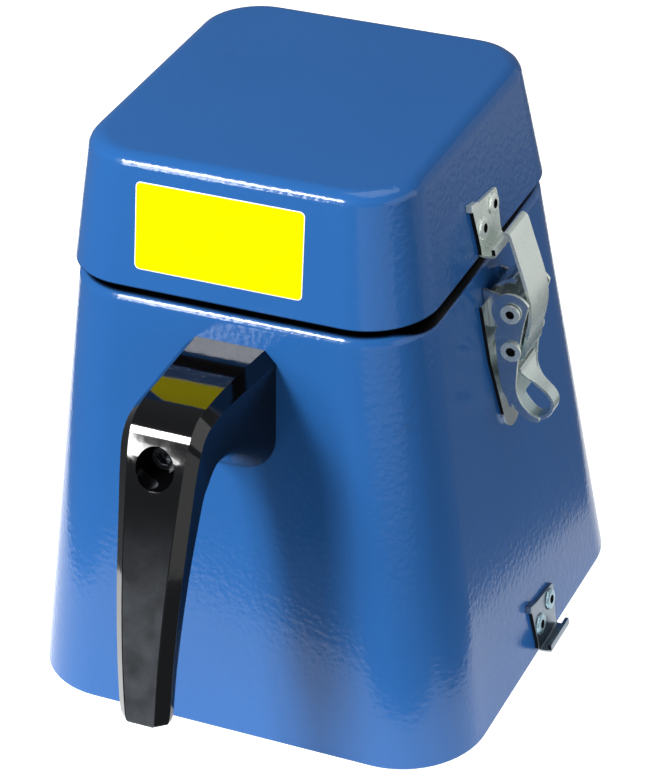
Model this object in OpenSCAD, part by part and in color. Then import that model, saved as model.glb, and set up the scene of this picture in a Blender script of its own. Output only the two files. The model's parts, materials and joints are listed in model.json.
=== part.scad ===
// Analytical lab mill: a tapered, painted metal housing with a hinged lid, a toggle latch on the
// right, two hook plates and a cantilever handle in front. Inside, a universal motor hangs under
// the deck and turns a cutting blade in a round grinding chamber.
// Origin: centre of the base plate's underside. +X is the latch side, -Y is the handle side.

/* [Housing] */
// Half width at the lower rim
rim_hx = 100; // [94:1:106]
// Half depth at the lower rim
rim_hy = 103; // [97:1:109]
// Corner radius at the lower rim
rim_r = 36; // [30:1:40]
// Half width at the top flange
neck_hx = 77; // [75:1:80]
// Half depth at the top flange
neck_hy = 81; // [79:1:84]
// Corner radius at the top flange
neck_r = 29; // [26:1:31]
// Height from the lower rim to the top flange
body_h = 190; // [184:1:200]
// Wall of the housing
wall = 3; // [2.5:0.1:3.5]
// Thickness of the top flange
flange_t = 4; // [3.5:0.1:5]
// Rounding of the housing's top edge
body_fillet = 5; // [3:0.5:7]

/* [Lid] */
// Height of the dark seam between housing and lid
seam_gap = 4; // [3.5:0.1:5]
// How far the lid overhangs the housing at the seam
lid_overhang = 1; // [0.5:0.1:2]
// Height of the lid
lid_h = 53.5; // [50:0.5:60]
// Half width of the lid's top before its rounding
crown_hx = 70.5; // [68:0.5:74]
// Half depth of the lid's top before its rounding
crown_hy = 72; // [70:0.5:76]
// Corner radius of the lid's top
crown_r = 24; // [20:1:27]
// Rounding of the lid's top edge
lid_fillet = 7; // [5:0.5:9]
// Wall of the lid
lid_wall = 3; // [2.5:0.1:3.5]
// Thickness of the inner liner of the lid
liner_t = 2; // [1.5:0.1:2.5]
// Distance from the lid's edge up to its liner
liner_rise = 3; // [2.8:0.1:4]

/* [Base] */
// Thickness of the base plate
base_t = 3; // [2.5:0.1:4]
// Height of the rubber feet
foot_h = 8; // [6:0.5:12]
// Radius of a foot where it meets the base plate
foot_r = 9; // [8:0.5:12]
// Distance of the feet from the middle plane, across
foot_x = 66; // [58:1:70]
// Distance of the feet from the middle plane, front to back
foot_y = 68; // [60:1:72]

/* [Grinding chamber] */
// Inner radius of the chamber
chamber_r = 30.5; // [26:0.5:32]
// Wall of the chamber
chamber_wall = 1.5; // [1:0.1:2]
// Depth of the chamber below the deck
chamber_depth = 39.5; // [36:0.5:44]
// Width of the chamber's flange
chamber_flange_w = 8; // [7:0.5:9]
// Tip to tip length of the blade
blade_len = 50; // [40:1:50]
// Radius of the motor shaft
shaft_r = 4; // [3.5:0.1:4.5]

/* [Motor] */
// Outer radius of the motor
motor_r = 36; // [34:0.5:38]
// Height of the stator core
core_h = 50; // [44:1:54]
// Radius of the armature
armature_r = 22; // [20:0.5:23]
// Radius of the commutator
commutator_r = 11; // [9:0.5:12]

/* [Latch] */
// Distance of the fixed latch pin from the housing's side
pin_off = 12.5; // [12:0.1:14]
// Distance of the fixed latch pin below the top flange
pin_drop = 18.8; // [17:0.1:22]
// Distance between the two latch pins
pin_pitch = 17.6; // [16.5:0.1:19]
// Radius of the fixed latch pin
pin_r = 2.5; // [2:0.1:2.8]
// Radius of the claw's pin
claw_pin_r = 2; // [1.6:0.1:2.2]
// Width of the claw strap
strap_w = 19; // [16:0.5:19.5]
// Thickness of the claw strap
strap_t = 1.4; // [1:0.1:1.6]
// Thickness of the latch's sheet steel
latch_t = 1.5; // [1.2:0.1:1.6]
// Outer width of the lever
lever_w = 25; // [24:0.5:28]
// Width of the finger loop
loop_w = 6.6; // [5:0.2:9]

/* [Hook plates] */
// Width of a hook plate at its top
keeper_w = 24.5; // [22:0.5:28]
// Height of a hook plate above its bend
keeper_h = 22; // [20:0.5:26]
// Thickness of a hook plate
keeper_t = 1.7; // [1.5:0.1:2]
// Width of a hook's lip
lip_w = 16.5; // [14:0.5:19]
// Front to back place of the lower hook plate
lower_keeper_y = 2.8; // [-10:0.2:10]
// Height of the lower hook plate's bend above the rim
lower_keeper_z = 1.5; // [0:0.5:20]

/* [Handle] */
// Sideways place of the handle
handle_x = 0.8; // [-6:0.2:6]
// Half width of the handle at its root
root_hw = 20; // [18:0.5:22]
// Half width of the handle at its bend
bend_hw = 17; // [15:0.5:18]
// Half width of the grip at its tip
tip_hw = 10.8; // [9:0.2:13]
// Bevel along the front edges of the grip
grip_bevel = 4.2; // [3:0.1:4.8]
// Radius of the recess for the handle's screw
recess_r = 8.2; // [7:0.1:9]

/* [Hidden] */

paint = "#2f5fae";
steel = "#c9ced2";
black = "#15161a";

// Clearances: pieces that turn, pieces that are bolted together, pieces that pass each other
run_gap = 0.05;
fit_gap = 0.1;
free_gap = 0.3;
cut = 1;
round_fn = 96;

// Places that follow from the housing and the lid
seam_z = body_h + seam_gap;
lid_hx = neck_hx + lid_overhang;
lid_hy = neck_hy + lid_overhang;
lid_r = neck_r;
top_z = seam_z + lid_h;
lean_x = atan((rim_hx - neck_hx) / body_h);
lean_y = atan((rim_hy - neck_hy) / body_h);
lid_lean_x = atan((lid_hx - crown_hx) / lid_h);

function side_x(z) = rim_hx - (rim_hx - neck_hx) * z / body_h;
function side_y(z) = rim_hy - (rim_hy - neck_hy) * z / body_h;
function side_r(z) = rim_r - (rim_r - neck_r) * z / body_h;
function lid_x(z) = lid_hx - (lid_hx - crown_hx) * (z - seam_z) / lid_h;
function lid_y(z) = lid_hy - (lid_hy - crown_hy) * (z - seam_z) / lid_h;

// A smooth curve through a few points
function spline_at(a, b, c, d, t) = 0.5 * (2 * b + (c - a) * t
    + (2 * a - 5 * b + 4 * c - d) * t * t + (3 * b - a - 3 * c + d) * t * t * t);
function curve(p, steps) = concat([for (i = [0:len(p) - 2], k = [0:steps - 1])
    spline_at(p[max(i - 1, 0)], p[i], p[i + 1], p[min(i + 2, len(p) - 1)], k / steps)],
    [p[len(p) - 1]]);

// A strip of sheet metal, seen edge on, whose left side follows the points
function side_of(p, i, d) = let (a = p[max(i - 1, 0)], b = p[min(i + 1, len(p) - 1)],
    v = (b - a) / norm(b - a)) p[i] + d * [v[1], -v[0]];
module strip(p, t) {
    n = len(p) - 1;
    polygon(concat(p, [for (i = [n:-1:0]) side_of(p, i, t)]));
}

module plate(hx, hy, r) {
    polygon([for (q = [0:3], a = [0:6:90])
        let (c = [[1, 1], [-1, 1], [-1, -1], [1, -1]][q])
        [c[0] * (hx - r) + r * cos(a + 90 * q), c[1] * (hy - r) + r * sin(a + 90 * q)]]);
}
module slice(z, hx, hy, r) {
    translate([0, 0, z]) linear_extrude(0.02) plate(hx, hy, r);
}
module ring(r_out, r_in, h) {
    difference() {
        cylinder(r = r_out, h = h, $fn = round_fn);
        translate([0, 0, -cut]) cylinder(r = r_in, h = h + 2 * cut, $fn = round_fn);
    }
}

// Frames on the sloping faces: the first axis points outwards, the third up along the face
module on_side() {
    translate([rim_hx, 0, 0]) rotate([0, -lean_x, 0]) children();
}
module on_lid_side() {
    translate([lid_hx, 0, seam_z]) rotate([0, -lid_lean_x, 0]) children();
}
module on_rear() {
    translate([0, rim_hy, 0]) rotate([lean_y, 0, 0]) children();
}

// Where the fasteners and the holes for them are
base_screw_x = rim_hx - 17.5;
base_screw_y = rim_hy - 17.5;
base_screw_r = 2;
boss_r = 6;
boss_h = 11;
function corners(x, y) = [[x, y], [-x, y], [-x, -y], [x, -y]];
opening_hx = neck_hx - 19;
opening_hy = neck_hy - 19;
opening_r = 14;
deck_screw_r = 1.5;
deck_screws_at = corners(opening_hx + 4.5, 40);
rivet_r = 2.4;

// Latch places
pin_z = body_h - pin_drop;
pin_x = side_x(pin_z) + pin_off;
latch_y = -0.5;
claw_pin_z = pin_z - pin_pitch;
cheek_out = lever_w / 2;
cheek_in = cheek_out - latch_t;
ear_out = cheek_in - free_gap - 0.2;
ear_in = ear_out - latch_t;
latch_rivets_at = [[-5.5, -21], [5.5, -21], [0, -36]];

// Hook plate rivets: front to back, and up from the bend
keeper_rivets_at = [[-6, 11.2], [6.4, 15.8]];
keeper_drop = 0.2;
lid_keeper_y = latch_y - 1.5;

// Handle screw
screw_z = body_h - 29.5;
screw_r = 3;
recess_floor = 138;

// Rear fittings
inlet_at = [-26, 44];
rocker_at = [24, 44];
inlet_body = [27.6, 20];
rocker_body = [15, 22];

// A tapered form whose top edge is rounded: each slice takes the leaning side or the round of
// radius f, whichever lies further in
function rounded_side(w0, w1, h, f, a) = let (lean = atan((w0 - w1) / h), up = h - f + f * sin(a))
    min(w0 + (w1 - w0) * up / h, w0 + (w1 - w0) * (h - f) / h - f / cos(lean) + f * cos(a));
module hull_stack(z0, h, hx0, hy0, r0, hx1, hy1, r1, f) {
    k = (h - f) / h;
    hull() {
        slice(z0, hx0, hy0, r0);
        for (a = [0:18:90])
            slice(z0 + h - f + f * sin(a) - 0.02, rounded_side(hx0, hx1, h, f, a),
                rounded_side(hy0, hy1, h, f, a), max(r0 + (r1 - r0) * k - f * (1 - cos(a)) * 0.6, 1));
    }
}

module housing_shell() {
    color(paint) difference() {
        union() {
            difference() {
                hull_stack(0, body_h, rim_hx, rim_hy, rim_r, neck_hx, neck_hy, neck_r, body_fillet);
                hull() {
                    slice(-cut, side_x(-cut) - wall, side_y(-cut) - wall, side_r(-cut) - wall);
                    slice(body_h - flange_t - 0.02, side_x(body_h - flange_t) - wall,
                        side_y(body_h - flange_t) - wall, side_r(body_h - flange_t) - wall);
                }
            }
            for (c = corners(base_screw_x, base_screw_y)) translate([c[0], c[1], base_t + fit_gap])
                cylinder(r = boss_r, h = boss_h - fit_gap, $fn = 48);
        }
        translate([0, 0, body_h - flange_t - cut])
            linear_extrude(flange_t + 2 * cut) plate(opening_hx, opening_hy, opening_r);
        for (c = corners(base_screw_x, base_screw_y)) translate([c[0], c[1], 0])
            cylinder(r = base_screw_r + fit_gap, h = base_t + boss_h - 2, $fn = 32);
        for (c = deck_screws_at) translate([c[0], c[1], body_h - flange_t - cut])
            cylinder(r = deck_screw_r + fit_gap, h = cut + flange_t - 1, $fn = 32);
        translate([handle_x, 0, screw_z]) rotate([90, 0, 0])
            cylinder(r = screw_r + fit_gap, h = rim_hy, $fn = 32);
        on_side() for (p = latch_rivets_at)
            translate([-wall - 2, latch_y + p[0], (pin_z + p[1]) / cos(lean_x)])
                rotate([0, 90, 0]) cylinder(r = rivet_r + fit_gap, h = wall + 4, $fn = 32);
        on_side() for (p = keeper_rivets_at)
            translate([-wall - 2, lower_keeper_y + p[0], lower_keeper_z + p[1]])
                rotate([0, 90, 0]) cylinder(r = rivet_r + fit_gap, h = wall + 4, $fn = 32);
        on_rear() rear_cutout(inlet_at, inlet_body);
        on_rear() rear_cutout(rocker_at, rocker_body);
    }
}
module rear_cutout(at, size) {
    translate([at[0] - size[0] / 2 - fit_gap, -wall - 2, at[1] - size[1] / 2 - fit_gap])
        cube([size[0] + 2 * fit_gap, wall + 4, size[1] + 2 * fit_gap]);
}

// Base and feet
vent_w = 3.5;
vent_len = 44;
module base_plate() {
    color("#8a8f94") difference() {
        linear_extrude(base_t) plate(side_x(0) - wall - 0.6, side_y(0) - wall - 0.6, rim_r - wall - 0.6);
        for (c = corners(base_screw_x, base_screw_y)) translate([c[0], c[1], -cut])
            cylinder(r = base_screw_r + fit_gap, h = base_t + 2 * cut, $fn = 32);
        for (c = corners(foot_x, foot_y)) translate([c[0], c[1], -cut])
            cylinder(r = base_screw_r + fit_gap, h = base_t + 2 * cut, $fn = 32);
        for (s = [-1, 1], i = [0:5]) translate([-vent_len / 2, s * (34 + 8 * i) - vent_w / 2, -cut])
            cube([vent_len, vent_w, base_t + 2 * cut]);
    }
}
module pan_screw(r, head_r, head_h, len) {
    cylinder(r = r, h = len, $fn = 32);
    difference() {
        translate([0, 0, -head_h]) rotate_extrude($fn = 48)
            polygon([[0, 0], [head_r * 0.62, 0], [head_r * 0.88, head_h * 0.25],
                [head_r, head_h * 0.65], [head_r, head_h], [0, head_h]]);
        for (a = [0, 90]) translate([0, 0, -head_h]) rotate([0, 0, a])
            cube([head_r * 1.1, head_r * 0.2, head_h], center = true);
    }
}
module base_screws() {
    color(steel) for (c = corners(base_screw_x, base_screw_y)) translate([c[0], c[1], 0])
        pan_screw(base_screw_r, 4, 2.4, base_t + boss_h - 3);
}
foot_recess_h = 4;
module rubber_feet() {
    color(black) for (c = corners(foot_x, foot_y)) translate([c[0], c[1], -foot_h]) difference() {
        rotate_extrude($fn = 64) polygon([[0, 0], [foot_r - 2.2, 0], [foot_r - 1.4, 0.6],
            [foot_r, foot_h], [0, foot_h]]);
        translate([0, 0, -cut]) cylinder(r = 4.3, h = foot_h - foot_recess_h + cut, $fn = 48);
        cylinder(r = base_screw_r + fit_gap, h = foot_h + cut, $fn = 32);
    }
}
module foot_screws() {
    color(steel) for (c = corners(foot_x, foot_y)) translate([c[0], c[1], -foot_recess_h])
        pan_screw(base_screw_r, 3.9, 2.4, foot_recess_h + base_t + 2);
}

// Deck, gasket and grinding chamber
deck_t = 3;
deck_z = body_h - 0.5;
deck_lip = 9;
plunger_at = [45, -49];
plunger_r = 3;
chamber_out = chamber_r + chamber_wall;
flange_r = chamber_out + chamber_flange_w;
flange_h = 1.9;
rim_z = deck_z + flange_h;
floor_z = deck_z - chamber_depth;
chamber_screw_r = 1.5;
chamber_screw_at = flange_r - 3;
chamber_screw_angles = [45, 135, 225, 315];
seal_r = 8;
bracket_t = 4;
hub_h = 2;
bracket_z = floor_z - hub_h - bracket_t;
post_at = 38;
post_r = 4;
module deck_plate() {
    lip_z = body_h - flange_t - deck_t;
    color("#b4b8bb") difference() {
        union() {
            translate([0, 0, lip_z]) linear_extrude(deck_t)
                plate(opening_hx + deck_lip, opening_hy + deck_lip, opening_r + 6);
            translate([0, 0, lip_z]) linear_extrude(deck_z - lip_z)
                plate(opening_hx - 0.5, opening_hy - 0.5, opening_r - 0.5);
        }
        translate([0, 0, lip_z - cut])
            cylinder(r = chamber_out + fit_gap, h = deck_z - lip_z + 2 * cut, $fn = round_fn);
        for (c = deck_screws_at) translate([c[0], c[1], lip_z - cut])
            cylinder(r = deck_screw_r + fit_gap, h = deck_t + 2 * cut, $fn = 32);
        for (a = chamber_screw_angles) rotate([0, 0, a]) translate([chamber_screw_at, 0, deck_z - 5])
            cylinder(r = chamber_screw_r + fit_gap, h = 5 + cut, $fn = 32);
        translate([plunger_at[0], plunger_at[1], lip_z - cut])
            cylinder(r = plunger_r + run_gap, h = deck_z - lip_z + 2 * cut, $fn = 48);
    }
}
module deck_screws() {
    color(steel) for (c = deck_screws_at) translate([c[0], c[1], body_h - flange_t - deck_t])
        pan_screw(deck_screw_r, 3, 1.8, deck_t + flange_t - 1.2);
}
gasket_inset = 3.5;
gasket_w = 9;
module lid_gasket() {
    h = seam_gap - free_gap;
    hx = neck_hx - body_fillet - 0.5;
    hy = neck_hy - body_fillet - 0.5;
    r = neck_r - body_fillet * 0.6 - 0.5;
    color(black) translate([0, 0, body_h]) difference() {
        linear_extrude(h) plate(hx, hy, r);
        translate([0, 0, -cut]) linear_extrude(h + 2 * cut)
            plate(hx - gasket_w, hy - gasket_w, r - gasket_w);
    }
}
module grinding_chamber() {
    color(steel) difference() {
        rotate_extrude($fn = round_fn) polygon(concat(
            [[seal_r + fit_gap, floor_z - hub_h], [seal_r + 4, floor_z - hub_h], [seal_r + 4, floor_z]],
            [for (a = [-90:15:0]) [chamber_out - 5 + 5 * cos(a), floor_z + 5 + 5 * sin(a)]],
            [[chamber_out, deck_z], [flange_r, deck_z], [flange_r, rim_z - 0.5],
                [flange_r - 0.5, rim_z], [chamber_r + 0.6, rim_z], [chamber_r, rim_z - 0.6]],
            [for (a = [0:-15:-90]) [chamber_r - 4 + 4 * cos(a), floor_z + 5.8 + 4 * sin(a)]],
            [[seal_r + fit_gap, floor_z + 1.8]]));
        for (a = chamber_screw_angles) rotate([0, 0, a])
            translate([chamber_screw_at, 0, deck_z - cut])
                cylinder(r = chamber_screw_r + fit_gap, h = flange_h + 2 * cut, $fn = 32);
    }
}
module chamber_screws() {
    color(steel) for (a = chamber_screw_angles) rotate([0, 0, a])
        translate([chamber_screw_at, 0, rim_z]) mirror([0, 0, 1]) pan_screw(chamber_screw_r, 2.7, 1.5, 6);
}
module shaft_seal() {
    color(black) translate([0, 0, floor_z - hub_h]) difference() {
        union() {
            cylinder(r = seal_r, h = hub_h + 2.4, $fn = 64);
            cylinder(r = shaft_r + 2, h = hub_h + 4, $fn = 64);
        }
        translate([0, 0, -cut]) cylinder(r = shaft_r + run_gap, h = hub_h + 6, $fn = 64);
    }
}
module standoffs() {
    color(steel) for (c = corners(post_at, post_at))
        translate([c[0], c[1], bracket_z + bracket_t])
            cylinder(r = post_r, h = body_h - flange_t - deck_t - bracket_z - bracket_t, $fn = 6);
}
module motor_bracket() {
    color("#9da2a6") translate([0, 0, bracket_z]) difference() {
        linear_extrude(bracket_t) plate(post_at + 7, post_at + 7, 9);
        translate([0, 0, -cut]) cylinder(r = shaft_r + 2, h = bracket_t + 2 * cut, $fn = 48);
    }
}

// Motor
bell_wall = 3;
upper_bell_h = 24;
lower_bell_h = 32;
bearing_r = 11;
bearing_h = 7;
hub_wall = 3;
core_top = bracket_z - upper_bell_h;
core_bottom = core_top - core_h;
motor_bottom = core_bottom - lower_bell_h;
bearing_seat = 1.5;
brush_z = core_bottom - 14;
brush_side = 6;
holder_side = 9;
holder_len = 25;
module end_bell(h) {
    difference() {
        union() {
            ring(motor_r, motor_r - bell_wall, h);
            ring(motor_r - bell_wall + 0.1, bearing_r - 2, bell_wall + 0.5);
            ring(bearing_r + hub_wall, bearing_r + fit_gap, bearing_seat + bearing_h);
        }
        translate([0, 0, bearing_seat])
            cylinder(r = bearing_r + fit_gap, h = bearing_h + cut, $fn = round_fn);
        for (a = [0:60:300]) rotate([0, 0, a + 30]) translate([21, 0, -cut])
            cylinder(r = 4, h = bell_wall + 2 * cut, $fn = 32);
    }
}
module upper_end_bell() {
    color("#a7abae") translate([0, 0, bracket_z]) mirror([0, 0, 1]) end_bell(upper_bell_h);
}
module lower_end_bell() {
    color("#a7abae") translate([0, 0, motor_bottom]) difference() {
        end_bell(lower_bell_h);
        translate([0, 0, brush_z - motor_bottom])
            cube([2 * motor_r + 2, holder_side + 2 * fit_gap, holder_side + 2 * fit_gap], center = true);
    }
}
module stator_core() {
    color("#7d8186") translate([0, 0, core_bottom]) difference() {
        cylinder(r = motor_r, h = core_h, $fn = round_fn);
        translate([0, 0, -cut]) cylinder(r = armature_r + 0.6, h = core_h + 2 * cut, $fn = round_fn);
        for (a = [0, 180]) rotate([0, 0, a]) translate([-9, armature_r - 2, -cut])
            cube([18, 8, core_h + 2 * cut]);
    }
}
module field_coils() {
    color("#b06a35") for (z = [core_top + 2.6, core_bottom - 2.6]) translate([0, 0, z])
        rotate_extrude($fn = 64) translate([armature_r + 5.4, 0]) scale([1, 0.6]) circle(r = 4.2, $fn = 24);
}
module bearing() {
    difference() {
        ring(bearing_r, shaft_r + run_gap, bearing_h);
        for (z = [-cut, bearing_h - 0.6]) translate([0, 0, z]) ring(bearing_r - 2, shaft_r + 2, 0.6 + cut);
    }
}
module upper_bearing() {
    color(steel) translate([0, 0, bracket_z - bearing_seat - bearing_h]) bearing();
}
module lower_bearing() {
    color(steel) translate([0, 0, motor_bottom + bearing_seat]) bearing();
}
module at_brushes() {
    for (a = [0, 180]) rotate([0, 0, a]) translate([commutator_r + 3, 0, brush_z]) children();
}
module brush_holders() {
    color("#6b3d22") at_brushes() difference() {
        translate([0, -holder_side / 2, -holder_side / 2]) cube([holder_len, holder_side, holder_side]);
        translate([-cut, -brush_side / 2 - fit_gap, -brush_side / 2 - fit_gap])
            cube([holder_len + 2 * cut, brush_side + 2 * fit_gap, brush_side + 2 * fit_gap]);
    }
}
module carbon_brushes() {
    color("#2a2a2c") at_brushes() difference() {
        translate([-3 + free_gap, -brush_side / 2, -brush_side / 2]) cube([13, brush_side, brush_side]);
        translate([-3 - commutator_r, 0, -5]) cylinder(r = commutator_r + free_gap, h = 10, $fn = round_fn);
    }
}
module brush_caps() {
    color(black) at_brushes() {
        translate([holder_len, 0, 0]) rotate([0, 90, 0]) cylinder(r = 5.5, h = 3, $fn = 48);
        translate([10 - 3 + free_gap + fit_gap + 3, -1.8, -1.8]) cube([holder_len - 10, 3.6, 3.6]);
    }
}

// Rotor
shaft_bottom = motor_bottom - 4;
blade_z = floor_z + 6.5;
blade_t = 1.6;
stud_r = shaft_r - 1;
nut_h = 5;
module motor_shaft() {
    color(steel) {
        translate([0, 0, shaft_bottom]) cylinder(r = shaft_r, h = blade_z - shaft_bottom, $fn = round_fn);
        translate([0, 0, blade_z]) cylinder(r = stud_r, h = blade_t + nut_h + 1, $fn = 64);
    }
}
slot_count = 12;
module armature_core() {
    color("#6f7478") translate([0, 0, core_bottom + 2]) difference() {
        ring(armature_r, shaft_r + fit_gap / 2, core_h - 4);
        for (i = [0:slot_count - 1]) rotate([0, 0, i * 360 / slot_count])
            translate([armature_r - 6, -1.2, -cut]) cube([7, 2.4, core_h - 4 + 2 * cut]);
    }
}
module armature_winding() {
    color("#b5662c") for (z = [core_top - 2, core_bottom + 2 - 7]) translate([0, 0, z]) difference() {
        rotate_extrude($fn = 64) polygon([[shaft_r + 2, 0], [armature_r - 4, 0], [armature_r - 2.5, 2],
            [armature_r - 4, 6], [armature_r - 8, 7], [shaft_r + 2, 7]]);
        for (i = [0:slot_count - 1]) rotate([0, 0, i * 360 / slot_count])
            translate([armature_r - 5, -0.8, -cut]) cube([5, 1.6, 7 + 2 * cut]);
    }
}
commutator_h = 12;
module commutator() {
    color("#c07a3e") translate([0, 0, brush_z - commutator_h / 2]) difference() {
        ring(commutator_r, shaft_r + fit_gap / 2, commutator_h);
        for (i = [0:slot_count - 1]) rotate([0, 0, (i + 0.5) * 360 / slot_count])
            translate([commutator_r - 1.2, -0.4, -cut]) cube([2, 0.8, commutator_h + 2 * cut]);
    }
}
fan_count = 9;
fan_r = motor_r - bell_wall - 4;
module cooling_fan() {
    h = 6;
    z = bracket_z - bearing_seat - bearing_h - h - 1.5;
    color("#d9d4c4") translate([0, 0, z]) difference() {
        union() {
            cylinder(r = fan_r, h = 1.2, $fn = round_fn);
            cylinder(r = shaft_r + 3.5, h = h, $fn = 64);
            for (i = [0:fan_count - 1]) rotate([0, 0, i * 360 / fan_count])
                translate([shaft_r + 2, 0, 0.6]) rotate([0, 0, 18])
                    cube([fan_r - shaft_r - 6, 1, h - 1.2]);
        }
        translate([0, 0, -cut]) cylinder(r = shaft_r + fit_gap / 2, h = h + 2 * cut, $fn = 64);
    }
}
blade_w = 9;
module cutting_blade() {
    tip = blade_len / 2;
    bend_x = 10;
    rise = (tip - bend_x) * tan(12);
    color("#d7dbde") translate([0, 0, blade_z]) difference() {
        intersection() {
            rotate([90, 0, 0]) linear_extrude(24, center = true)
                polygon([[-tip, rise], [-bend_x, 0], [bend_x, 0], [tip, rise], [tip, rise + blade_t],
                    [bend_x, blade_t], [-bend_x, blade_t], [-tip, rise + blade_t]]);
            translate([0, 0, -1]) linear_extrude(12) union() {
                circle(r = 8, $fn = 64);
                polygon([[tip - 6, -blade_w / 2], [tip - 0.6, 0], [tip - 2, blade_w / 2],
                    [6 - tip, blade_w / 2], [0.6 - tip, 0], [2 - tip, -blade_w / 2]]);
            }
        }
        translate([0, 0, -cut]) cylinder(r = stud_r + fit_gap / 2, h = blade_t + 2 * cut, $fn = 64);
    }
}
module blade_nut() {
    color(steel) translate([0, 0, blade_z + blade_t]) difference() {
        cylinder(r = stud_r + 2.8, h = nut_h, $fn = 6);
        translate([0, 0, -cut]) cylinder(r = stud_r + fit_gap / 2, h = nut_h + 2 * cut, $fn = 64);
    }
}

// Lid
lid_boss_at = corners(crown_hx - 13, crown_hy - 13);
lid_boss_r = 5;
lid_screw_r = 1.8;
module lid_shell() {
    liner_top = seam_z + liner_rise + liner_t;
    roof = top_z - lid_wall;
    color(paint) difference() {
        union() {
            difference() {
                hull_stack(seam_z, lid_h, lid_hx, lid_hy, lid_r, crown_hx, crown_hy, crown_r, lid_fillet);
                hull() {
                    slice(seam_z - cut, lid_x(seam_z - cut) - lid_wall, lid_y(seam_z - cut) - lid_wall,
                        lid_r - lid_wall);
                    slice(roof - 5, lid_x(roof - 5) - lid_wall, lid_y(roof - 5) - lid_wall,
                        crown_r - lid_wall);
                    slice(roof - 0.02, lid_x(roof) - lid_wall - 5, lid_y(roof) - lid_wall - 5,
                        crown_r - lid_wall - 3);
                }
            }
            for (c = lid_boss_at) translate([c[0], c[1], liner_top + fit_gap])
                cylinder(r = lid_boss_r, h = roof - liner_top, $fn = 48);
        }
        for (c = lid_boss_at) translate([c[0], c[1], liner_top])
            cylinder(r = lid_screw_r + fit_gap, h = 12, $fn = 32);
        on_lid_side() for (p = keeper_rivets_at)
            translate([-lid_wall - 2, lid_keeper_y + p[0], p[1] - keeper_drop])
                rotate([0, 90, 0]) cylinder(r = rivet_r + fit_gap, h = lid_wall + 4, $fn = 32);
    }
}
module lid_liner() {
    z = seam_z + liner_rise;
    color("#3a3d42") difference() {
        translate([0, 0, z]) linear_extrude(liner_t)
            plate(lid_x(z + liner_t) - lid_wall - 0.6, lid_y(z + liner_t) - lid_wall - 0.6,
                lid_r - lid_wall);
        for (c = lid_boss_at) translate([c[0], c[1], z - cut])
            cylinder(r = lid_screw_r + fit_gap, h = liner_t + 2 * cut, $fn = 32);
    }
}
module liner_screws() {
    color(steel) for (c = lid_boss_at) translate([c[0], c[1], seam_z + liner_rise])
        pan_screw(lid_screw_r, 3.4, 1.8, 11);
}
cover_r = chamber_out + 4;
cover_h = 2.6;
module chamber_cover() {
    z = seam_z + liner_rise;
    color(steel) translate([0, 0, z - cover_h]) union() {
        rotate_extrude($fn = round_fn) polygon([[0, 0], [cover_r - 0.8, 0], [cover_r, 0.8],
            [cover_r, cover_h], [0, cover_h]]);
    }
}
module cover_seal() {
    z = rim_z + free_gap;
    color("#8b2f24") translate([0, 0, z])
        ring(chamber_out + 1.4, chamber_r - 1.5, seam_z + liner_rise - cover_h - z);
}
tongue_r = 3;
module interlock_tongue() {
    z = plunger_top + free_gap;
    color(black) translate([plunger_at[0], plunger_at[1], z])
        cylinder(r = tongue_r, h = seam_z + liner_rise - z, $fn = 48);
}

// Safety switch below the deck
plunger_top = deck_z + 2.5;
plunger_travel = 2;
collar_z = body_h - flange_t - deck_t - 2.5;
module interlock_plunger() {
    color("#d8d8d8") translate([plunger_at[0], plunger_at[1], 0]) {
        translate([0, 0, collar_z - 3]) cylinder(r = plunger_r, h = plunger_top - collar_z + 3, $fn = 64);
        translate([0, 0, collar_z]) cylinder(r = plunger_r + 1.6, h = 2, $fn = 48);
    }
}
module interlock_switch() {
    top = collar_z - 3 - plunger_travel - free_gap;
    plate_top = body_h - flange_t - deck_t;
    color(black) translate([plunger_at[0], plunger_at[1], 0]) {
        translate([-10, -5, top - 16]) cube([20, 10, 16]);
        translate([-10, 5, top - 16]) cube([20, 1.5, plate_top - top + 16]);
    }
}

// Hook plates, the same on the lid and on the housing
hook_r = 2.6;
hook_out = 7.6;
hook_up = 4;
function arc(c, r, from, to, n) = [for (i = [0:n]) let (a = from + (to - from) * i / n)
    c + r * [cos(a), sin(a)]];
function hook_side(r) = concat([[hook_r - r, keeper_h * 0.25]],
    arc([hook_r, hook_r - 0.8], r, 180, 270, 6), arc([hook_out - hook_r, hook_r - 0.8], r, 270, 360, 6),
    [[hook_out - hook_r + r, hook_up]]);
function reversed(p) = [for (i = [len(p) - 1:-1:0]) p[i]];
module hook_plate(y) {
    half = keeper_w / 2;
    translate([0, y, 0]) union() {
        difference() {
            rotate([90, 0, 90]) linear_extrude(keeper_t) polygon([[-half + 1.8, 3.6],
                [half - 1.8, 3.6], [half, keeper_h - 3.4], [half - 0.8, keeper_h - 1.3],
                [-half + 0.4, keeper_h + 1.2], [-half - 0.4, keeper_h - 0.2]]);
            for (p = keeper_rivets_at) translate([-cut, p[0], p[1]])
                rotate([0, 90, 0]) cylinder(r = rivet_r + fit_gap, h = keeper_t + 2 * cut, $fn = 32);
        }
        intersection() {
            translate([0, half, 0]) rotate([90, 0, 0]) linear_extrude(2 * half)
                polygon(concat(hook_side(hook_r), reversed(hook_side(hook_r - keeper_t))));
            translate([-1, 0, 0]) rotate([90, 0, 90]) linear_extrude(hook_out + 2)
                polygon([[-half + 1.8, keeper_h * 0.3], [-lip_w / 2 - 2.5, 1.4], [-lip_w / 2, -2],
                    [lip_w / 2, -2], [lip_w / 2 + 2.5, 1.4], [half - 1.8, keeper_h * 0.3]]);
        }
        translate([0, -half - 3.4, keeper_h + 0.8]) rotate([-12, 0, 0]) cube([2.8, 6.4, 3]);
    }
}
module rivets_through(y, t, depth) {
    for (p = keeper_rivets_at) translate([t, y + p[0], p[1]]) rotate([0, 90, 0]) blind_rivet(4.8, t + depth);
}
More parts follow.
